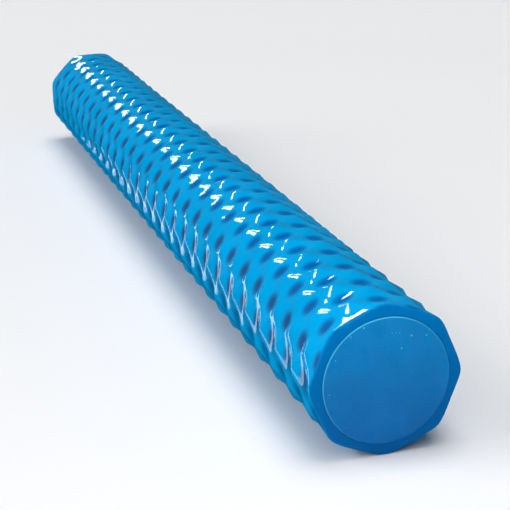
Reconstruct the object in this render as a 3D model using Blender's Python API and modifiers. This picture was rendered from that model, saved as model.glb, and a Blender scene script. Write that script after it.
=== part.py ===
"""Pool noodle: a thick vinyl-dipped foam float, built up as the real one is.

A round foam core carries a wrapped layer of dimpled foam. A vinyl dip coat follows the dimples from
end to end and turns in over both rims, where it laps the edge of a round end disc.

Metres, +Z up. The noodle lies along X with its lowest crests on the plane z = 0, and its middle is
over the origin. Angles round the noodle run from +Y towards +Z.
"""

import math
from collections import namedtuple

import bmesh
import bpy

# Whole noodle
LENGTH = 1.1684            # between the faces of the two end discs, 46 inches
DIAMETER = 0.127           # over the crests of the dimple net, 5 inches

# Dimple net: straight rows of pits along the noodle, each row half a pitch on from the next
PITS_PER_RING = 8
DIMPLE_PITCH = 0.0416      # from pit to pit along a row
DIMPLE_DEPTH = 0.005       # from the crossing of the crests to the floor of a pit
PIT_POWER = 0.8            # below 1 it broadens the pits and draws the crests together
RIM_DEPTH_SHARE = 0.7      # how much of their depth the dimples keep at the rims
RIM_FADE = 0.018           # how far in from a rim they are shallower

# Vinyl dip coat
COAT_WALL = 0.0012

# Foam
CORE_DIAMETER = 0.060
FOAM_EDGE_ROUND = 0.001    # round on the sleeve's end edges, which the coat follows
EDGE_STEPS = 2

# End discs
RIM_WIDTH = 0.0111         # from the edge of a disc out to the crests
DISC_THICKNESS = 0.006
DISC_PROUD = 0.0016        # how far a disc stands out of the rim
DISC_EDGE_ROUND = 0.001
DISC_SIDES = 64

# Space left between pieces that touch
FIT_GAP = 0.0003

# Shading
CREASE_ANGLE = math.radians(50)

# Places worked out from the sizes
row_count = 2 * PITS_PER_RING
column_count = 2 * row_count
row_turn = math.tau / row_count
first_row = math.pi / 2 + row_turn / 2

half_length = LENGTH / 2
half_body = half_length - DISC_PROUD
ring_count = max(2, round(2 * half_body / (DIMPLE_PITCH / 2)))
ring_step = 2 * half_body / ring_count

coat_depth = COAT_WALL + FIT_GAP
rim_round = FOAM_EDGE_ROUND + coat_depth

disc_radius = DIAMETER / 2 - RIM_WIDTH
disc_back = half_length - DISC_THICKNESS
seat_x = disc_back - FIT_GAP
hole_radius = (disc_radius + FIT_GAP) / math.cos(math.pi / column_count)
core_radius = CORE_DIAMETER / 2

# One ring of a lofted layer: its place along the noodle, its radius over the crests, the share of the
# dimples' depth that it takes, and which of the columns round the noodle have a corner on it
Ring = namedtuple("Ring", "x radius share start step", defaults=(0, 1))

# One corner of a ring: its column, its point in the mesh, and how deep in the net it lies
Corner = namedtuple("Corner", "column vert sink")


def dimple_share(angle, x):
    """Depth of the net at a place: 1 on the floor of a pit, 0 where two crests cross."""
    along = math.cos(math.pi * (half_body - x) / ring_step)
    around = math.cos(PITS_PER_RING * (angle - first_row))
    return ((1 + along * around) / 2) ** PIT_POWER


def rim_fade(x):
    """How much of their depth the dimples keep at a place along the noodle."""
    inward = (half_body - abs(x)) / RIM_FADE
    return 1 - (1 - RIM_DEPTH_SHARE) * math.exp(-(inward**2))


def rim_rings(depth):
    """Rings from the flat of the rim round on to the side, for the surface at that depth in the coat.

    The round is an arc about a centre that all the surfaces share. Out from the disc's hole the rings
    take a growing share of the dimples, so the rim is round inside and scalloped outside.
    """
    side_radius = DIAMETER / 2 - depth
    round_radius = rim_round - depth
    rings = []
    for step in range(EDGE_STEPS + 1):
        turn = math.pi / 2 * step / EDGE_STEPS
        radius = side_radius - round_radius + round_radius * math.sin(turn)
        x = half_body - rim_round + round_radius * math.cos(turn)
        share = (radius - hole_radius) / (side_radius - hole_radius)
        rings.append(Ring(x, radius, share))
    return rings


def layer_rings(depth):
    """Rings of one whole dimpled surface, from the rim at +X to the rim at -X.

    Along the side they run in turn through the saddles of the net, which lie between its rows, and
    through its pits and crossings, which lie on the rows. Each has corners on every other column.
    """
    rim = rim_rings(depth)
    side = []
    for ring in range(1, 2 * ring_count):
        x = half_body - ring * ring_step / 2
        side.append(Ring(x, DIAMETER / 2 - depth, 1, start=1 - ring % 2, step=2))
    return rim + side + mirrored(rim)


def mirrored(rings):
    """The same rings at the other end, in the order that carries the loop on."""
    return [ring._replace(x=-ring.x) for ring in reversed(rings)]


def ring_corners(mesh, ring):
    """New corners of one ring, with the first once more at the end, a full turn on."""
    corners = []
    for column in range(ring.start, column_count, ring.step):
        angle = column * math.tau / column_count
        sink = dimple_share(angle, ring.x)
        radius = ring.radius - DIMPLE_DEPTH * rim_fade(ring.x) * ring.share * sink
        place = (ring.x, radius * math.cos(angle), radius * math.sin(angle))
        corners.append(Corner(column, mesh.verts.new(place), sink))
    corners.append(corners[0]._replace(column=corners[0].column + column_count))
    return corners


def fill_band(mesh, here, onward):
    """Triangles between two rings, each taking in whichever ring's next corner comes first.

    Where both come at once, the edge follows the higher diagonal, so that no crest is cut.
    """
    i = 0
    j = 0
    while i < len(here) - 1 or j < len(onward) - 1:
        if j == len(onward) - 1:
            along_here = True
        elif i == len(here) - 1:
            along_here = False
        elif here[i + 1].column != onward[j + 1].column:
            along_here = here[i + 1].column < onward[j + 1].column
        else:
            along_here = here[i + 1].sink + onward[j].sink < here[i].sink + onward[j + 1].sink
        if along_here:
            mesh.faces.new((here[i].vert, here[i + 1].vert, onward[j].vert))
            i += 1
        else:
            mesh.faces.new((here[i].vert, onward[j + 1].vert, onward[j].vert))
            j += 1


def lofted_layer(name, rings):
    """A closed body lofted through the rings, the last ring joined to the first."""
    mesh = bmesh.new()
    lofted = [ring_corners(mesh, ring) for ring in rings]
    for here, onward in zip(lofted, lofted[1:] + lofted[:1]):
        fill_band(mesh, here, onward)
    bmesh.ops.recalc_face_normals(mesh, faces=mesh.faces)
    return object_from(mesh, name)


def object_from(mesh, name):
    """A new object of that name with the mesh in it, shaded smooth up to the crease angle."""
    data = bpy.data.meshes.new(name)
    mesh.to_mesh(data)
    mesh.free()
    data.shade_smooth()
    data.set_sharp_from_angle(angle=CREASE_ANGLE)
    return bpy.data.objects.new(name, data)


def material(name, colour, roughness):
    """A plain Principled finish."""
    finish = bpy.data.materials.new(name)
    finish.use_nodes = True
    shader = finish.node_tree.nodes["Principled BSDF"]
    shader.inputs["Base Color"].default_value = (*colour, 1)
    shader.inputs["Roughness"].default_value = roughness
    shader.inputs["Metallic"].default_value = 0
    return finish


def vinyl_coat():
    """Dip coat: a dimpled tube of even wall, turned in over both rims as far as the discs."""
    lip = [Ring(half_body, hole_radius, 0)]
    inner_lip = [Ring(half_body - COAT_WALL, hole_radius, 0)]
    outside = lip + layer_rings(0) + mirrored(lip)
    inside = inner_lip + layer_rings(COAT_WALL) + mirrored(inner_lip)
    return lofted_layer("vinyl_coat", outside + inside[::-1])


def foam_sleeve():
    """Dimpled foam wrapped round the core, with a shallow seat for a disc in each end."""
    bore_radius = core_radius + FIT_GAP
    seat = [
        Ring(seat_x, bore_radius, 0),
        Ring(seat_x, hole_radius, 0),
        Ring(half_body - coat_depth, hole_radius, 0),
    ]
    return lofted_layer("foam_sleeve", seat + layer_rings(coat_depth) + mirrored(seat))


def foam_core():
    """Round foam log that the sleeve is wrapped on, as long as the sleeve's bore."""
    mesh = bmesh.new()
    bmesh.ops.create_cone(
        mesh,
        cap_ends=True,
        segments=column_count,
        radius1=core_radius,
        radius2=core_radius,
        depth=2 * seat_x,
    )
    core = object_from(mesh, "foam_core")
    core.rotation_euler = (0, math.pi / 2, 0)
    return core


def disc_mesh():
    """Half section of an end disc for its turning, with the front edge rounded."""
    profile = bmesh.new()
    points = [(0, 0)]
    for step in range(EDGE_STEPS + 1):
        turn = math.pi / 2 * (1 - step / EDGE_STEPS)
        radius = disc_radius - DISC_EDGE_ROUND * (1 - math.cos(turn))
        height = DISC_EDGE_ROUND * (math.sin(turn) - 1)
        points.append((radius, height))
    points += [(disc_radius, -DISC_THICKNESS), (0, -DISC_THICKNESS)]
    verts = [profile.verts.new((radius, 0, height)) for radius, height in points]
    for start, end in zip(verts, verts[1:]):
        profile.edges.new((start, end))
    data = bpy.data.meshes.new("end_disc")
    profile.to_mesh(data)
    profile.free()
    return data


def end_disc(name, data, side):
    """One end disc, face out, at the +X end for side 1 and at the -X end for side -1."""
    disc = bpy.data.objects.new(name, data)
    turned = disc.modifiers.new("turned", "SCREW")
    turned.angle = math.tau
    turned.steps = DISC_SIDES
    turned.render_steps = DISC_SIDES
    turned.use_merge_vertices = True
    turned.merge_threshold = DISC_EDGE_ROUND / 100
    disc.location = (side * half_length, 0, 0)
    disc.rotation_euler = (0, side * math.pi / 2, 0)
    return disc


def build():
    """Clear the scene, then make every piece, give it its finish and hang it on the noodle's axis."""
    for old in list(bpy.data.objects):
        bpy.data.objects.remove(old, do_unlink=True)
    noodle = bpy.data.collections.new("pool_noodle")
    bpy.context.scene.collection.children.link(noodle)

    coat_finish = material("glossy_blue_vinyl", (0.0, 0.33, 0.70), 0.12)
    disc_finish = material("satin_blue_vinyl", (0.01, 0.17, 0.45), 0.35)
    foam_finish = material("closed_cell_foam", (0.55, 0.75, 0.88), 0.9)
    disc_data = disc_mesh()
    pieces = [
        (vinyl_coat(), coat_finish),
        (foam_sleeve(), foam_finish),
        (foam_core(), foam_finish),
        (end_disc("near_end_disc", disc_data, 1), disc_finish),
        (end_disc("far_end_disc", disc_data, -1), disc_finish),
    ]
    axis = bpy.data.objects.new("noodle_axis", None)
    coat = pieces[0][0]
    axis.location = (0, 0, -min(corner.co.z for corner in coat.data.vertices))
    noodle.objects.link(axis)
    for piece, finish in pieces:
        piece.parent = axis
        piece.data.materials.clear()
        piece.data.materials.append(finish)
        noodle.objects.link(piece)


build()
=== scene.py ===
"""Looks of the dipped pool noodle: its dimpled vinyl coat, the foam in it and its two end discs.

Metres, +Z up. The noodle lies along X with its middle over the origin, and the end that the camera
sees is at +X. Angles round the noodle run from +Y towards +Z.
"""

import logging
import math
from dataclasses import dataclass, field
from enum import Enum
from typing import Any, NamedTuple

import bpy
import numpy as np
from mathutils import Matrix, Quaternion, Vector


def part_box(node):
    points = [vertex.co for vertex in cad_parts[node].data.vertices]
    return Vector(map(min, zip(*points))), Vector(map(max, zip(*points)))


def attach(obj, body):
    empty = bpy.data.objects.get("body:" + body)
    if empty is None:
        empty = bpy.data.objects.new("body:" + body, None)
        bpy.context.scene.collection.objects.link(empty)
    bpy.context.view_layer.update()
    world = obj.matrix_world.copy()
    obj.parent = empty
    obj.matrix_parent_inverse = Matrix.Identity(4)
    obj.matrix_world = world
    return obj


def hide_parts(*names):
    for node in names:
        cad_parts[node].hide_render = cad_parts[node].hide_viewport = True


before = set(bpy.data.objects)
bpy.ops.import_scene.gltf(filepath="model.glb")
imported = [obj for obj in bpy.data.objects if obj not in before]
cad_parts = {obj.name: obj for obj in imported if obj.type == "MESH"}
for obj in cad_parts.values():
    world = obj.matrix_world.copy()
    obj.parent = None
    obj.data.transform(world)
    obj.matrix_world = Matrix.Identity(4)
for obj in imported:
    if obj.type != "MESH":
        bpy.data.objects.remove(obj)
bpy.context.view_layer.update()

log = logging.getLogger("pool_noodle")

Colour = tuple[float, float, float]
Place = tuple[float, float, float]
Direction = tuple[float, float, float]
Span = tuple[float, float]
Sockets = dict[Any, Any]

QUARTER = math.pi / 2
CREASE = math.radians(40)
NOODLE_TOP = 0.13
CLOUD_EDGES = (0.3, 0.7)


class NoodleEnd(Enum):
    """The two ends of the noodle, as the sign of their place on X."""

    NEAR = 1
    FAR = -1


class Slot(Enum):
    """The record's material slots."""

    COAT = "coat"
    DISC = "disc"
    FOAM = "foam"


class Shell(NamedTuple):
    """One closed surface: its corners, and its faces as lists of corner numbers."""

    corners: np.ndarray
    faces: list[list[int]]


class Rings(NamedTuple):
    """Rings of a dimpled layer, each field a column with one number per ring."""

    x: np.ndarray
    radius: np.ndarray
    share: np.ndarray
    rim: np.ndarray
    depth: np.ndarray


def angles(count: int) -> np.ndarray:
    """A row of equal angles round a ring, from 0 up to but not including a full turn."""
    return np.arange(count)[None, :] * math.tau / count


def round_edge(face: float, side: float, arc: float, steps: int) -> np.ndarray:
    """The round between an end face and a side.

    A quarter circle whose middle lies one radius in from the face and one in from the side.

    Args:
        face: Place of the face on X.
        side: Radius of the side.
        arc: Radius of the round.
        steps: How many straight pieces stand for it.

    Returns:
        Rows of place on X and radius, from the face to the side.
    """
    turn = np.linspace(0, QUARTER, steps + 1)
    return np.stack([face - arc + arc * np.cos(turn), side - arc + arc * np.sin(turn)], axis=-1)


def both_ends(near: np.ndarray) -> np.ndarray:
    """Rows of a whole side.

    The given rows, followed in the opposite order by their mirror images, which leave out the last
    row because it lies in the middle.

    Args:
        near: Rows from the near end to the middle, with the place on X first.

    Returns:
        Rows from the near end to the far end.
    """
    far = near[-2::-1].copy()
    far[:, 0] *= -1
    return np.vstack([near, far])


def turned(x: np.ndarray, radius: np.ndarray, turn: np.ndarray, height: float) -> np.ndarray:
    """Points of rings about an axis along X.

    Across is the radius times the cosine of the angle, and up is the axis's height plus the radius
    times its sine.

    Args:
        x: Places of the rings on X, as a column.
        radius: Radius of each ring, or of each point of each ring.
        turn: Angles of the points, as a row.
        height: Height of the axis.

    Returns:
        Array of rings by points by three.
    """
    across = radius * np.cos(turn)
    up = height + radius * np.sin(turn)
    return np.stack([np.broadcast_to(x, across.shape), across, up], axis=-1)


def ring_shell(points: np.ndarray, looped: bool = False) -> Shell:
    """A closed surface through rings of points.

    Each face joins a point and its neighbour to the same two of the next ring. Where the last ring
    isn't joined to the first, each of the two is closed by triangles to a point at its middle.

    Args:
        points: Array of rings by points by three.
        looped: Whether the last ring is joined to the first, as round a tube's wall.

    Returns:
        The surface.
    """
    rows, columns = points.shape[:2]
    column = np.arange(columns)
    beside = (column + 1) % columns
    start = np.arange(rows if looped else rows - 1)[:, None] * columns
    onward = (start + columns) % (rows * columns)
    quads = np.stack([start + column, start + beside, onward + beside, onward + column], axis=-1)
    faces = quads.reshape(-1, 4).tolist()
    corners = points.reshape(-1, 3)
    if not looped:
        poles = np.stack([points[0].mean(axis=0), points[-1].mean(axis=0)])
        corners = np.vstack([corners, poles])
        pole = np.full(columns, rows * columns)
        last = (rows - 1) * columns
        faces += np.stack([pole, beside, column], axis=-1).tolist()
        faces += np.stack([pole + 1, last + column, last + beside], axis=-1).tolist()
    return Shell(corners, faces)


def signed_volume(mesh: bpy.types.Mesh) -> float:
    """Volume inside a closed mesh, below zero where its faces point in.

    Each triangle adds a sixth of the triple product of its corners.

    Args:
        mesh: The mesh to measure.

    Returns:
        The volume in cubic metres.
    """
    mesh.calc_loop_triangles()
    corners = np.empty(len(mesh.vertices) * 3, np.float32)
    mesh.vertices.foreach_get("co", corners)
    triangles = np.empty(len(mesh.loop_triangles) * 3, np.int32)
    mesh.loop_triangles.foreach_get("vertices", triangles)
    a, b, c = corners.reshape(-1, 3).astype(float)[triangles.reshape(-1, 3)].transpose(1, 0, 2)
    return float(np.einsum("ij,ij->i", a, np.cross(b, c)).sum() / 6)


def make_piece(name: str, shells: list[Shell]) -> bpy.types.Object:
    """A piece made of closed surfaces.

    Args:
        name: The piece's name.
        shells: Its surfaces, all turned the same way round.

    Returns:
        The piece, at the origin, with its faces pointing out and smooth up to the crease angle.
    """
    corners = np.vstack([shell.corners for shell in shells])
    starts = np.cumsum([0] + [len(shell.corners) for shell in shells])
    faces = [
        [start + corner for corner in face]
        for start, shell in zip(starts, shells)
        for face in shell.faces
    ]
    mesh = bpy.data.meshes.new(name)
    mesh.from_pydata(corners, [], faces)
    if signed_volume(mesh) < 0:
        mesh.flip_normals()
    mesh.shade_smooth()
    mesh.set_sharp_from_angle(angle=CREASE)
    mesh.update()
    piece = bpy.data.objects.new(name, mesh)
    bpy.context.scene.collection.objects.link(piece)
    return piece


def point_value(piece: bpy.types.Object, name: str, values: np.ndarray) -> None:
    """Stores one number per point on a piece, under a name that its material reads."""
    attribute = piece.data.attributes.new(name, "FLOAT", "POINT")
    attribute.data.foreach_set("value", values.astype(np.float32).ravel())


def place_piece(piece: bpy.types.Object, node: str, finish: bpy.types.Material) -> None:
    """Dresses a piece and lets it stand for its CAD node.

    Args:
        piece: The finished piece.
        node: The CAD node that it stands for.
        finish: Its material.
    """
    piece.data.materials.append(finish)
    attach(piece, "root")
    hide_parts(node)
    log.info("%s: %d points, for %s", piece.name, len(piece.data.vertices), node)


class NodeSheet:
    """A tree of nodes, with short ways to add to it."""

    def __init__(self, tree: bpy.types.NodeTree, space: str) -> None:
        """Takes up a tree, and gives it coordinates.

        Args:
            tree: The tree.
            space: Which coordinates it reads: an output of the Texture Coordinate node.
        """
        self.tree = tree
        self.place = self.add("ShaderNodeTexCoord", {}).outputs[space]
        self.height = self.add("ShaderNodeSeparateXYZ", {"Vector": self.place}).outputs["Z"]

    def feed(self, node: bpy.types.Node, inputs: Sockets) -> None:
        """Sets or links some of a node's inputs.

        Args:
            node: The node.
            inputs: For each input's name, a number, a colour or another node's socket.
        """
        for name, value in inputs.items():
            if isinstance(value, bpy.types.NodeSocket):
                self.tree.links.new(value, node.inputs[name])
            else:
                node.inputs[name].default_value = value

    def add(self, kind: str, inputs: Sockets, **settings: Any) -> bpy.types.Node:
        """Adds a node.

        Args:
            kind: The node's type.
            inputs: As for feed.
            settings: Values of the node's own properties.

        Returns:
            The node.
        """
        node = self.tree.nodes.new(kind)
        for name, value in settings.items():
            setattr(node, name, value)
        self.feed(node, inputs)
        return node

    def remap(self, value: bpy.types.NodeSocket, start: float, stop: float) -> bpy.types.NodeSocket:
        """Carries a value smoothly from 0 at a start to 1 at a stop, and holds it outside them."""
        return self.carry(value, (start, stop), (0, 1))

    def carry(
        self, value: bpy.types.NodeSocket, source: Span, target: Span
    ) -> bpy.types.NodeSocket:
        """Carries a span of a value smoothly over to another span, and holds it outside.

        Args:
            value: The value.
            source: Where its span begins and ends.
            target: The results there.

        Returns:
            The result.
        """
        inputs = {"Value": value}
        inputs |= zip(("From Min", "From Max", "To Min", "To Max"), (*source, *target))
        node = self.add("ShaderNodeMapRange", inputs, interpolation_type="SMOOTHSTEP")
        return node.outputs["Result"]

    def lowness(self, top: float = NOODLE_TOP, bottom: float = 0) -> bpy.types.NodeSocket:
        """How low a place is: 0 at one height and above, and 1 at a lower one and below."""
        return self.remap(self.height, top, bottom)

    def blend(self, factor: Any, first: Any, second: Any) -> bpy.types.NodeSocket:
        """A colour or number between two: the first at factor 0, and the second at 1."""
        inputs = {"Factor": factor, "A": self.plain(first), "B": self.plain(second)}
        return self.add("ShaderNodeMix", inputs, data_type="RGBA").outputs["Result"]

    @staticmethod
    def plain(colour: Any) -> Any:
        """A colour of three numbers with the fourth that a socket needs, or a socket as it is."""
        return (*colour, 1) if isinstance(colour, tuple) else colour


class Finish(NodeSheet):
    """A new material, with short ways to add textures to it."""

    def __init__(self, name: str) -> None:
        """Makes the material, with nodes that read the piece's own coordinates.

        Args:
            name: The material's name.
        """
        self.material = bpy.data.materials.new(name)
        self.material.use_nodes = True
        super().__init__(self.material.node_tree, "Object")

    def shader(self, inputs: Sockets) -> bpy.types.Material:
        """Feeds some inputs of the material's shader, and hands over the finished material."""
        self.feed(self.tree.nodes["Principled BSDF"], inputs)
        return self.material

    def attribute(self, name: str) -> bpy.types.NodeSocket:
        """The numbers stored on the piece under a name."""
        return self.add("ShaderNodeAttribute", {}, attribute_name=name).outputs["Fac"]

    def noise(self, size: float, detail: float = 2) -> bpy.types.NodeSocket:
        """Noise from 0 to 1, with its largest features' size in metres and its finer layers."""
        inputs = {"Vector": self.place, "Scale": 1 / size, "Detail": detail}
        return self.add("ShaderNodeTexNoise", inputs).outputs["Fac"]

    def cells(self, size: float) -> bpy.types.NodeSocket:
        """Distance from the middle of rounded cells of a size in metres: 0 at the middle."""
        inputs = {"Vector": self.place, "Scale": 1 / size}
        return self.add("ShaderNodeTexVoronoi", inputs).outputs["Distance"]

    def shade(self, colour: bpy.types.NodeSocket, brightness: Any) -> bpy.types.NodeSocket:
        """A colour made brighter or darker by a factor."""
        inputs = {"Color": colour, "Value": brightness}
        return self.add("ShaderNodeHueSaturation", inputs).outputs["Color"]

    def clouded(
        self, colour: bpy.types.NodeSocket, size: float, brightness: Span
    ) -> bpy.types.NodeSocket:
        """A colour under clouds of a size in metres, with factors for its darkest and brightest."""
        return self.shade(colour, self.carry(self.noise(size), CLOUD_EDGES, brightness))

    def bump(self, height: bpy.types.NodeSocket, distance: float, under: Any = None) -> Any:
        """Relief of the surface.

        Args:
            height: Its height, from 0 to 1.
            distance: Height in metres that 1 stands for.
            under: Relief that it lies on.

        Returns:
            The relief's normal.
        """
        inputs = {"Height": height, "Distance": distance}
        if under is not None:
            inputs["Normal"] = under
        return self.add("ShaderNodeBump", inputs).outputs["Normal"]


@dataclass(frozen=True)
class CoatFinish:
    """Glossy dipped vinyl, deeper on the rims, with painted shade in the pits and lower down."""

    crest_colour: Colour = (0.0, 0.36, 0.75)
    low_crest_shade_colour: Colour = (0.0, 0.34, 0.7)
    pit_shade_colour: Colour = (0.0, 0.13, 0.43)
    side_pit_shade_colour: Colour = (0.02, 0.085, 0.25)
    low_pit_shade_colour: Colour = (0.0, 0.165, 0.37)
    rim_colour: Colour = (0.0, 0.23, 0.64)
    low_rim_shade_colour: Colour = (0.004, 0.15, 0.46)
    pit_shade_edges: Span = (0.67, 1)
    low_pit_shade_edges: Span = (0.42, 0.85)
    side_shade_heights: Span = (0.118, 0.090)
    low_shade_heights: Span = (0.078, 0.040)
    cloud_size: float = 0.07
    cloud_brightness: Span = (0.93, 1.05)
    roughness: Span = (0.05, 0.14)
    specular: float = 0.12
    crest_edges: Span = (0.5, 0.26)
    scuff_size: float = 0.018
    scuff_edges: Span = (0.5, 0.7)
    peel_size: float = 0.006
    peel_height: float = 0.00003
    dust_size: float = 0.0011
    dust_height: float = 0.000012

    def colour(self, sheet: Finish, net: bpy.types.NodeSocket) -> bpy.types.NodeSocket:
        """The vinyl's colour.

        The pits carry painted shade, which comes in from their edge to their floor, sooner low on
        the sides, and darker still below a height there. All colours are darker lower down as
        painted shade, and slow clouds lie over them.

        Args:
            sheet: The finish that it is for.
            net: How near the middle of a pit a place is.

        Returns:
            The colour.
        """
        # Painted shade lower down: the pits' shade reaches wider and all colours darken towards the
        # bottom.
        low = sheet.lowness(*self.low_shade_heights)
        # Painted shade in the pits: where it reaches, from their edge to their floor.
        pit = sheet.blend(
            low, sheet.remap(net, *self.pit_shade_edges), sheet.remap(net, *self.low_pit_shade_edges)
        )
        # Painted shade: pits below a height on the sides turn darker still.
        side_shade = sheet.lowness(*self.side_shade_heights)
        pit_shade_colour = sheet.blend(side_shade, self.pit_shade_colour, self.side_pit_shade_colour)
        # Painted shade of the pits, tealer lower down.
        pit_shade_colour = sheet.blend(low, pit_shade_colour, self.low_pit_shade_colour)
        # The crests' colour, with painted shade lower down.
        crest_colour = sheet.blend(low, self.crest_colour, self.low_crest_shade_colour)
        # The rims' colour, with painted shade towards the bottom.
        rim_colour = sheet.blend(sheet.lowness(), self.rim_colour, self.low_rim_shade_colour)
        # Painted shade: the pits' darker colour laid over the crests' colour.
        colour = sheet.blend(pit, crest_colour, pit_shade_colour)
        colour = sheet.blend(sheet.attribute("rim"), colour, rim_colour)
        return sheet.clouded(colour, self.cloud_size, self.cloud_brightness)

    def material(self) -> bpy.types.Material:
        """Builds the finish.

        An orange-peel relief wobbles the reflections, with a fine one of dust in the dip on it.
        Gloss is full in the pits, and duller in patches on the crests, which rub against things.

        Returns:
            The material.
        """
        sheet = Finish("dipped_vinyl")
        net = sheet.attribute("pit")
        crest = sheet.remap(net, *self.crest_edges)
        patches = sheet.remap(sheet.noise(self.scuff_size, detail=4), *self.scuff_edges)
        scuffs = sheet.add("ShaderNodeMath", {0: crest, 1: patches}, operation="MULTIPLY")
        peel = sheet.bump(sheet.noise(self.peel_size, detail=1), self.peel_height)
        inputs = {
            "Base Color": self.colour(sheet, net),
            "Roughness": sheet.carry(scuffs.outputs[0], (0, 1), self.roughness),
            "Specular IOR Level": self.specular,
            "Normal": sheet.bump(sheet.noise(self.dust_size, detail=0), self.dust_height, peel),
        }
        return sheet.shader(inputs)


@dataclass(frozen=True)
class DiscFinish:
    """Satin vinyl of the end discs, with a painted highlight over their edge and over bubbles."""

    colour: Colour = (0.0, 0.30, 0.74)
    low_shade_colour: Colour = (0.006, 0.18, 0.54)
    painted_highlight_colour: Colour = (0.10, 0.66, 0.92)
    cloud_size: float = 0.045
    cloud_brightness: Span = (0.93, 1.06)
    roughness: Span = (0.24, 0.36)
    specular: float = 0.12
    dull_size: float = 0.015
    dull_edges: Span = (0.35, 0.65)
    grain_size: float = 0.0009
    grain_height: float = 0.00002

    def material(self) -> bpy.types.Material:
        """Builds the finish: painted shade low down, clouds, fine grain and painted highlights.

        Returns:
            The material.
        """
        sheet = Finish("satin_vinyl")
        # Painted shade: the disc darker towards the bottom.
        colour = sheet.blend(sheet.lowness(), self.colour, self.low_shade_colour)
        # Painted highlight over the disc's edge and its bubbles.
        colour = sheet.blend(sheet.attribute("painted_highlight"), colour, self.painted_highlight_colour)
        dull = sheet.noise(self.dull_size, detail=4)
        inputs = {
            "Base Color": sheet.clouded(colour, self.cloud_size, self.cloud_brightness),
            "Roughness": sheet.carry(dull, self.dull_edges, self.roughness),
            "Specular IOR Level": self.specular,
            "Normal": sheet.bump(sheet.noise(self.grain_size, detail=1), self.grain_height),
        }
        return sheet.shader(inputs)


@dataclass(frozen=True)
class FoamFinish:
    """Closed-cell foam: matt, with fine cells and a few larger ones that were cut open."""

    colour: Colour = (0.52, 0.74, 0.88)
    cell_colour: Colour = (0.34, 0.58, 0.76)
    roughness: float = 0.9
    cell_size: float = 0.0012
    cell_edges: Span = (0.2, 0.7)
    cell_height: float = 0.0002
    blow_hole_size: float = 0.006
    blow_hole_edges: Span = (0.1, 0.25)
    blow_hole_shade: float = 0.8
    blow_hole_depth: float = 0.0006

    def material(self) -> bpy.types.Material:
        """Builds the finish: darker between cells, cell relief, open blow holes in painted shade.

        Returns:
            The material.
        """
        sheet = Finish("closed_cell_foam")
        cells = sheet.remap(sheet.cells(self.cell_size), *self.cell_edges)
        holes = sheet.remap(sheet.cells(self.blow_hole_size), *self.blow_hole_edges)
        colour = sheet.blend(cells, self.colour, self.cell_colour)
        # Painted shade in the open blow holes.
        brightness = sheet.carry(holes, (0, 1), (self.blow_hole_shade, 1))
        relief = sheet.bump(sheet.carry(cells, (0, 1), (1, 0)), self.cell_height)
        inputs = {
            "Base Color": sheet.shade(colour, brightness),
            "Roughness": self.roughness,
            "Normal": sheet.bump(holes, self.blow_hole_depth, relief),
        }
        return sheet.shader(inputs)


@dataclass
class NoodleSizes:
    """The noodle's overall sizes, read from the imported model, with some that no box shows."""

    crest_radius: float = 0.0635
    pits_per_ring: int = 8
    coat_wall: float = 0.0012
    fit_gap: float = 0.0003
    rim_round: float = 0.0025
    length: float = field(init=False)
    body_half: float = field(init=False)
    axis_height: float = field(init=False)
    disc_radius: float = field(init=False)
    disc_thickness: float = field(init=False)
    core_radius: float = field(init=False)

    def __post_init__(self) -> None:
        """Reads the boxes of the coat, a disc and the core."""
        low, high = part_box("vinyl_coat")
        self.body_half = high.x
        self.axis_height = (high.z - low.z) / 2
        low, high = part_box("near_end_disc")
        self.length = 2 * high.x
        self.disc_thickness = high.x - low.x
        self.disc_radius = (high.z - low.z) / 2
        low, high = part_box("foam_core")
        self.core_radius = (high.z - low.z) / 2

    @property
    def hole_radius(self) -> float:
        """Radius of the hole in the rim that a disc sits in."""
        return self.disc_radius + self.fit_gap

    @property
    def seat(self) -> float:
        """Place on X of the near end's seat, behind its disc."""
        return self.length / 2 - self.disc_thickness - self.fit_gap


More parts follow.
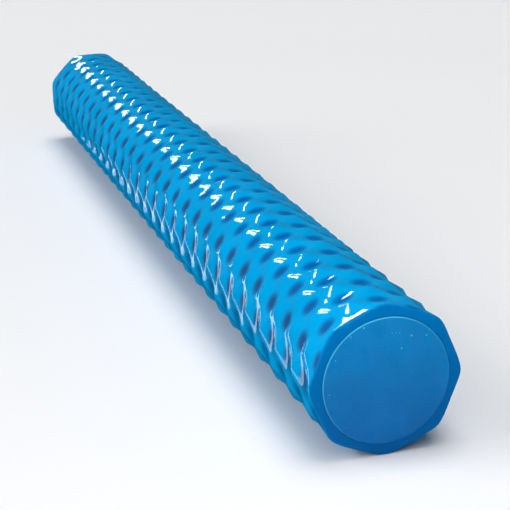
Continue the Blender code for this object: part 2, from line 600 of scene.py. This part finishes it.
@dataclass
class DimpleNet:
    """The net of dimples: rows of pits along the noodle, each row half a pitch on from the next."""

    sizes: NoodleSizes
    depth: float = 0.005
    pit_power: float = 0.55
    ridge_share: float = 0.3
    ridge_round: float = 0.3
    half_pitches: int = 56
    near_twist: float = math.radians(11)
    far_twist: float = math.radians(-11)
    twist_reach: float = 0.15
    twist_power: float = 1.2
    unevenness: float = 0.10
    wave_turns: tuple[int, int] = (3, 5)
    wave_rates: Span = (23, -41)
    wave_start: float = 1
    end_fade: float = 0.3
    fade_reach: float = 0.018

    def twist(self, x: np.ndarray) -> np.ndarray:
        """How far the rows swing round near the two ends, as the foam was dipped.

        A swing dies away from its end as the exponential of minus a power of the distance.

        Args:
            x: Places along the noodle.

        Returns:
            Angles in radians.
        """
        swings = np.zeros_like(x)
        for end, twist in ((NoodleEnd.NEAR, self.near_twist), (NoodleEnd.FAR, self.far_twist)):
            inward = np.maximum(self.sizes.body_half - end.value * x, 0)
            swings += twist * np.exp(-((inward / self.twist_reach) ** self.twist_power))
        return swings

    def pit(self, turn: np.ndarray, x: np.ndarray) -> np.ndarray:
        """How near the middle of a pit a place is: 1 there, and 0 where two crests cross.

        It is made of two forms that share their pits, with a cosine along the noodle and one round
        it, which swings with the twist. An egg crate takes the two times each other. A net of round
        ridges takes how far their mean is from zero. The sum is raised to a power, which broadens
        the pits.

        Args:
            turn: Angles round the noodle.
            x: Places along it.

        Returns:
            One number per place.
        """
        pits = self.sizes.pits_per_ring
        half_pitch = 2 * self.sizes.body_half / self.half_pitches
        first_row = QUARTER + QUARTER / pits
        along = np.cos(math.pi * (self.sizes.body_half - x) / half_pitch)
        around = np.cos(pits * (turn - first_row - self.twist(x)))
        crate = (1 + along * around) / 2
        rounding = self.ridge_round
        ridges = np.hypot((along + around) / 2, rounding) - rounding
        ridges /= math.hypot(1, rounding) - rounding
        return ((1 - self.ridge_share) * crate + self.ridge_share * ridges) ** self.pit_power

    def sink(self, turn: np.ndarray, x: np.ndarray) -> np.ndarray:
        """Depth of the net at a place, shallower at the ends and slowly uneven.

        The pit's number times the depth, times one plus a product of two slow waves, a sine and a
        cosine. Each wave's phase is its turns times the angle, plus its rate times the place on X.
        Towards an end, a bell curve takes away part of the depth.

        Args:
            turn: Angles round the noodle.
            x: Places along it.

        Returns:
            Depths in metres.
        """
        sine, cosine = (
            turns * turn + rate * x for turns, rate in zip(self.wave_turns, self.wave_rates)
        )
        waves = np.sin(sine + self.wave_start) * np.cos(cosine)
        inward = self.sizes.body_half - np.abs(x)
        fade = 1 - self.end_fade * np.exp(-((inward / self.fade_reach) ** 2))
        return self.depth * fade * self.pit(turn, x) * (1 + self.unevenness * waves)


@dataclass
class DimpledLayer:
    """Surfaces that follow the net of dimples at some depth under the coat's outside."""

    sizes: NoodleSizes
    net: DimpleNet
    columns: int = 160
    edge_steps: int = 8
    rim_steps: int = 5

    def rings(self, depth: float, per_half_pitch: int) -> np.ndarray:
        """Rings of one surface from the edge of the near disc's hole to that of the far one.

        A flat from the hole out, a quarter circle round the rim, and a straight side. The dimples'
        share grows in proportion to the radius across the flat and the round, and is 1 on the side.
        The rim's number is 1 on the flat, and falls along X over the round to 0 on the side.

        Args:
            depth: How far the surface lies under the coat's outside.
            per_half_pitch: Rings to each half pitch along the side.

        Returns:
            Rows with the numbers of Rings.
        """
        sizes = self.sizes
        hole = sizes.hole_radius
        side = sizes.crest_radius - depth
        arc = sizes.rim_round - depth
        face = sizes.body_half - depth
        edge = round_edge(face, side, arc, self.edge_steps)
        flat_radius = np.linspace(hole, side - arc, self.rim_steps + 1)[:-1]
        flat = np.stack([np.full_like(flat_radius, face), flat_radius], axis=-1)
        count = self.net.half_pitches * per_half_pitch // 2
        side_x = np.linspace(edge[-1, 0], 0, count + 1)[1:]
        along = np.stack([side_x, np.full_like(side_x, side)], axis=-1)
        near = np.vstack([flat, edge, along])
        share = np.minimum((near[:, 1] - hole) / (side - hole), 1)
        rim = np.clip((near[:, 0] - face + arc) / arc, 0, 1)
        return both_ends(np.column_stack([near, share, rim, np.full_like(share, depth)]))

    def shell(self, rows: np.ndarray) -> tuple[Shell, np.ndarray, np.ndarray]:
        """The closed wall through a loop of rings, with the dimples sunk into it.

        Each point's radius is its ring's less the net's depth there times the ring's share. What
        would then reach below the floor is flattened on it.

        Args:
            rows: Rows with the numbers of Rings.

        Returns:
            The wall, and for each of its points how near it is to the middle of a pit and to the
            flat of a rim.
        """
        ring = Rings(*rows.T[:, :, None])
        turn = angles(self.columns)
        deep = ring.share * self.net.pit(turn, ring.x)
        radius = ring.radius - ring.share * self.net.sink(turn, ring.x)
        points = turned(ring.x, radius, turn, self.sizes.axis_height)
        points[..., 2] = np.maximum(points[..., 2], ring.depth)
        return ring_shell(points, looped=True), deep, np.broadcast_to(ring.rim, deep.shape)


@dataclass
class DippedCoat(DimpledLayer):
    """The vinyl coat: a thin dimpled tube, turned in over both rims as far as the discs."""

    rings_per_half_pitch: int = 8
    inner_rings_per_half_pitch: int = 2

    def build(self, finish: bpy.types.Material) -> None:
        """Makes the coat: its outside one way and its inside back.

        Args:
            finish: The coat's material.
        """
        outside = self.rings(0, self.rings_per_half_pitch)
        inside = self.rings(self.sizes.coat_wall, self.inner_rings_per_half_pitch)
        shell, deep, rim = self.shell(np.vstack([outside, inside[::-1]]))
        coat = make_piece("dipped_vinyl_coat", [shell])
        point_value(coat, "pit", deep)
        point_value(coat, "rim", rim)
        place_piece(coat, "vinyl_coat", finish)


@dataclass
class FoamSleeve(DimpledLayer):
    """The dimpled foam under the coat, with a bore for the core and a seat for each disc."""

    rings_per_half_pitch: int = 4
    fill: float = 0.9

    def build(self, finish: bpy.types.Material) -> None:
        """Makes the sleeve: its bore, the two seats and the dimpled outside.

        Args:
            finish: The foam's material.
        """
        sizes = self.sizes
        depth = sizes.coat_wall + sizes.fit_gap
        outside = self.rings(depth, self.rings_per_half_pitch)
        bore = sizes.core_radius + sizes.fit_gap
        near_seat = [(sizes.seat, bore, 0, 0, 0), (sizes.seat, sizes.hole_radius, 0, 0, 0)]
        far_seat = [(-x, *rest) for x, *rest in reversed(near_seat)]
        shell, _, _ = self.shell(np.vstack([near_seat, outside, far_seat]))
        sleeve = make_piece("dimpled_foam_sleeve", [shell])
        place_piece(sleeve, "foam_sleeve", finish)


@dataclass
class FoamCore:
    """The round foam log in the sleeve's bore, with softened ends."""

    sizes: NoodleSizes
    columns: int = 96
    edge_round: float = 0.002
    edge_steps: int = 4
    side_steps: int = 16
    fill: float = 1.0

    def build(self, finish: bpy.types.Material) -> None:
        """Makes the core.

        Args:
            finish: The foam's material.
        """
        sizes = self.sizes
        edge = round_edge(sizes.seat, sizes.core_radius, self.edge_round, self.edge_steps)
        side_x = np.linspace(edge[-1, 0], 0, self.side_steps + 1)[1:]
        side = np.stack([side_x, np.full_like(side_x, sizes.core_radius)], axis=-1)
        rows = both_ends(np.vstack([edge, side]))
        points = turned(rows[:, :1], rows[:, 1:], angles(self.columns), sizes.axis_height)
        core = make_piece("foam_core_log", [ring_shell(points)])
        place_piece(core, "foam_core", finish)


class Bubble(NamedTuple):
    """A small bubble under a disc's skin.

    Its reach is a share of the disc's radius, its clock is an angle round the disc in degrees, and
    its radius is in metres.
    """

    reach: float
    clock: float
    radius: float


@dataclass
class EndDisc:
    """The round disc in one end, faintly crowned, with a rounded edge and a few small bubbles."""

    sizes: NoodleSizes
    end: NoodleEnd
    columns: int = 192
    face_rings: int = 24
    edge_round: float = 0.0012
    edge_steps: int = 6
    crown: float = 0.0004
    brightest_highlight_turn: float = math.radians(115)
    bubbles: tuple[Bubble, ...] = (
        Bubble(0.95, 112, 0.0007),
        Bubble(0.955, 126, 0.0006),
        Bubble(0.77, 60, 0.0009),
        Bubble(0.89, 46, 0.0006),
        Bubble(0.75, 84, 0.0004),
        Bubble(0.76, 79, 0.0004),
        Bubble(0.76, 75, 0.0004),
        Bubble(0.54, 65, 0.0007),
        Bubble(0.91, 151, 0.0006),
        Bubble(0.90, 185, 0.0005),
        Bubble(0.91, 225, 0.0004),
    )
    bubble_height: float = 0.4
    bubble_root: float = 0.0006
    bubble_columns: int = 12
    bubble_steps: int = 4

    def disc(self) -> tuple[Shell, np.ndarray]:
        """The disc itself.

        Its face falls from the middle with the fourth power of the radius, then a quarter circle
        leads on to the side. A painted highlight lies over the round: across it as a sine's square,
        and round the disc as one plus a cosine, brightest upwards and to one side.

        Returns:
            The disc's surface, and how strong its painted highlight is at each point.
        """
        sizes = self.sizes
        face = sizes.length / 2
        spread = np.linspace(0, 1, self.face_rings + 1)[1:]
        side = sizes.disc_radius
        front = np.stack(
            [face - self.crown * spread**4, (side - self.edge_round) * spread], axis=-1
        )
        edge = round_edge(face - self.crown, side, self.edge_round, self.edge_steps)[1:]
        back = [(face - sizes.disc_thickness, side)]
        rows = np.vstack([front, edge, back])
        turn = angles(self.columns)
        points = turned(self.end.value * rows[:, :1], rows[:, 1:], turn, sizes.axis_height)
        painted_highlight = np.zeros(len(rows))
        across = np.arange(1, self.edge_steps + 1) / self.edge_steps
        painted_highlight[len(front) : -len(back)] = np.sin(math.pi * across) ** 2
        # Painted highlight, strongest towards one upper side.
        painted_highlight = painted_highlight[:, None] * (1 + np.cos(turn - self.brightest_highlight_turn)) / 2
        return ring_shell(points), np.append(painted_highlight, (0, 0))

    def bubble(self, bubble: Bubble) -> Shell:
        """A low dome on the disc's face.

        Half an ellipse turned round its own axis, with a short root down into the disc.

        Args:
            bubble: Its place and size.

        Returns:
            The dome's surface.
        """
        sizes = self.sizes
        fall = np.linspace(0, QUARTER, self.bubble_steps + 1)[1:]
        face = sizes.length / 2 - self.crown * bubble.reach**4
        rise = np.append(bubble.radius * self.bubble_height * np.cos(fall), -self.bubble_root)
        radius = np.append(bubble.radius * np.sin(fall), bubble.radius)
        x = self.end.value * (face + rise)
        turn = angles(self.bubble_columns)
        points = turned(x[:, None], radius[:, None], turn, sizes.axis_height)
        clock = math.radians(bubble.clock)
        reach = bubble.reach * sizes.disc_radius
        points[..., 1] += reach * math.cos(clock)
        points[..., 2] += reach * math.sin(clock)
        return ring_shell(points)

    def build(self, finish: bpy.types.Material) -> None:
        """Makes the disc with its bubbles.

        Args:
            finish: The disc's material.
        """
        disc, painted_highlight = self.disc()
        domes = [self.bubble(bubble) for bubble in self.bubbles]
        name = f"{self.end.name.lower()}_end_disc"
        piece = make_piece(f"{name}_dressed", [disc, *domes])
        dome_points = sum(len(dome.corners) for dome in domes)
        # The bubbles carry the full painted highlight.
        point_value(piece, "painted_highlight", np.append(painted_highlight, np.ones(dome_points)))
        place_piece(piece, name, finish)


class Reach(Enum):
    """What a light shows in."""

    SURFACE = "the colours of every surface"
    GLOSS = "the gloss of every surface, as a glint"


@dataclass(frozen=True)
class Lamp:
    """A light, which shows either in colours or in gloss."""

    name: str
    reach: Reach

    def place(self, data: bpy.types.Light, turn: Quaternion) -> bpy.types.Object:
        """Puts the light into the scene.

        Args:
            data: The light.
            turn: Which way it is turned.

        Returns:
            Its object.
        """
        lamp = bpy.data.objects.new(self.name, data)
        lamp.visible_glossy = self.reach is Reach.GLOSS
        lamp.visible_diffuse = self.reach is Reach.SURFACE
        lamp.rotation_euler = turn.to_euler()
        bpy.context.scene.collection.objects.link(lamp)
        return lamp


@dataclass(frozen=True)
class Daylight(Lamp):
    """Light from one side, softer the broader its spread, which is in degrees."""

    source: Direction
    spread: float
    strength: float

    def hang(self) -> None:
        """Adds it to the scene."""
        data = bpy.data.lights.new(self.name, "SUN")
        data.angle = math.radians(self.spread)
        data.energy = self.strength
        self.place(data, Vector(self.source).to_track_quat("Z", "Y"))


@dataclass(frozen=True)
class Panel(Lamp):
    """A soft rectangular lamp near the noodle, which the camera doesn't see."""

    spot: Place
    aim: Direction
    size: Span
    watts: float

    def hang(self) -> None:
        """Adds it to the scene, with its first side along X where it faces up."""
        data = bpy.data.lights.new(self.name, "AREA")
        data.shape = "RECTANGLE"
        data.size, data.size_y = self.size
        data.energy = self.watts
        lamp = self.place(data, Vector(self.aim).to_track_quat("-Z", "Y"))
        lamp.location = self.spot
        lamp.visible_camera = False


@dataclass
class Studio:
    """Pale floor, soft light and the camera at the photograph's angle."""

    floor_size: float = 60.0
    floor_colour: Colour = (0.90, 0.90, 0.91)
    floor_roughness: float = 0.9
    horizon: Colour = (0.08, 0.09, 0.10)
    zenith: Colour = (0.04, 0.045, 0.05)
    shade: Colour = (0.01, 0.025, 0.035)
    horizon_top: float = 0.4
    shade_top: float = -0.1
    lights: tuple[Daylight, ...] = (
        Daylight("key_light", Reach.SURFACE, (-0.04, 0.10, 0.995), spread=40, strength=1.8),
        Daylight("side_light", Reach.SURFACE, (-0.2, -0.83, 0.52), spread=40, strength=1.6),
        Daylight("high_lamp", Reach.GLOSS, (-0.635, -0.296, 0.713), spread=13, strength=1.6),
        Daylight("low_lamp", Reach.GLOSS, (-0.823, -0.101, 0.559), spread=9, strength=0.7),
        Daylight("front_lamp", Reach.GLOSS, (0.75, 0.25, 0.61), spread=13, strength=1.6),
        Daylight("right_lamp", Reach.GLOSS, (0.35, 0.62, 0.70), spread=13, strength=1.6),
    )
    panels: tuple[Panel, ...] = (
        Panel(
            "front_panel",
            Reach.SURFACE,
            spot=(1.15, -0.25, 0.75),
            aim=(-0.566, 0.25, -0.69),
            size=(0.6, 0.6),
            watts=2.5,
        ),
        Panel(
            "ground_strip",
            Reach.GLOSS,
            spot=(0.07, -0.155, 0.002),
            aim=(0, 0, 1),
            size=(1.06, 0.045),
            watts=0.49,
        ),
    )
    photo_pixels: float = 510.0
    focal_pixels: float = 1453.9
    sensor_width: float = 36.0
    camera_place: Place = (1.5414, -0.3897, 0.5042)
    camera_aim: Direction = (-0.91037, 0.27273, -0.31119)
    camera_roll: float = math.radians(-1.61)

    def floor(self) -> None:
        """Lays the floor, which the gloss doesn't see."""
        bpy.ops.mesh.primitive_plane_add(size=self.floor_size)
        floor = bpy.context.object
        floor.name = "floor"
        floor.visible_glossy = False
        inputs = {"Base Color": (*self.floor_colour, 1), "Roughness": self.floor_roughness}
        floor.data.materials.append(Finish("pale_floor").shader(inputs))

    def world(self) -> None:
        """Surroundings that are dim overhead, a little brighter at the horizon, and dark below it.

        Only the gloss sees the dark part, because the floor hides it from everything else.
        """
        world = bpy.data.worlds.new("studio")
        world.use_nodes = True
        sheet = NodeSheet(world.node_tree, "Generated")
        overhead = sheet.remap(sheet.height, 0, self.horizon_top)
        below = sheet.remap(sheet.height, 0, self.shade_top)
        sky = sheet.blend(overhead, self.horizon, self.zenith)
        sky = sheet.blend(below, sky, self.shade)
        sheet.feed(world.node_tree.nodes["Background"], {"Color": sky})
        bpy.context.scene.world = world

    def camera(self) -> None:
        """Puts the camera at the photograph's place."""
        data = bpy.data.cameras.new("camera")
        data.sensor_width = self.sensor_width
        data.lens = self.focal_pixels / self.photo_pixels * self.sensor_width
        camera = bpy.data.objects.new("camera", data)
        turn = Vector(self.camera_aim).to_track_quat("-Z", "Y").to_matrix().to_4x4()
        roll = Matrix.Rotation(self.camera_roll, 4, "Z")
        camera.matrix_world = Matrix.Translation(self.camera_place) @ turn @ roll
        bpy.context.scene.collection.objects.link(camera)
        bpy.context.scene.camera = camera

    def build(self) -> None:
        """Sets everything up."""
        self.floor()
        self.world()
        for lamp in (*self.lights, *self.panels):
            lamp.hang()
        self.camera()
        bpy.context.scene.view_settings.view_transform = "Standard"


def main() -> None:
    """Builds the studio and the noodle, and reports each piece."""
    logging.basicConfig(level=logging.INFO, format="%(name)s: %(message)s")
    Studio().build()
    sizes = NoodleSizes()
    net = DimpleNet(sizes)
    DippedCoat(sizes, net).build(CoatFinish().material())
    foam = FoamFinish().material()
    FoamSleeve(sizes, net, edge_steps=6).build(foam)
    FoamCore(sizes).build(foam)
    vinyl = DiscFinish().material()
    for end in NoodleEnd:
        EndDisc(sizes, end).build(vinyl)


if __name__ == "__main__":
    main()
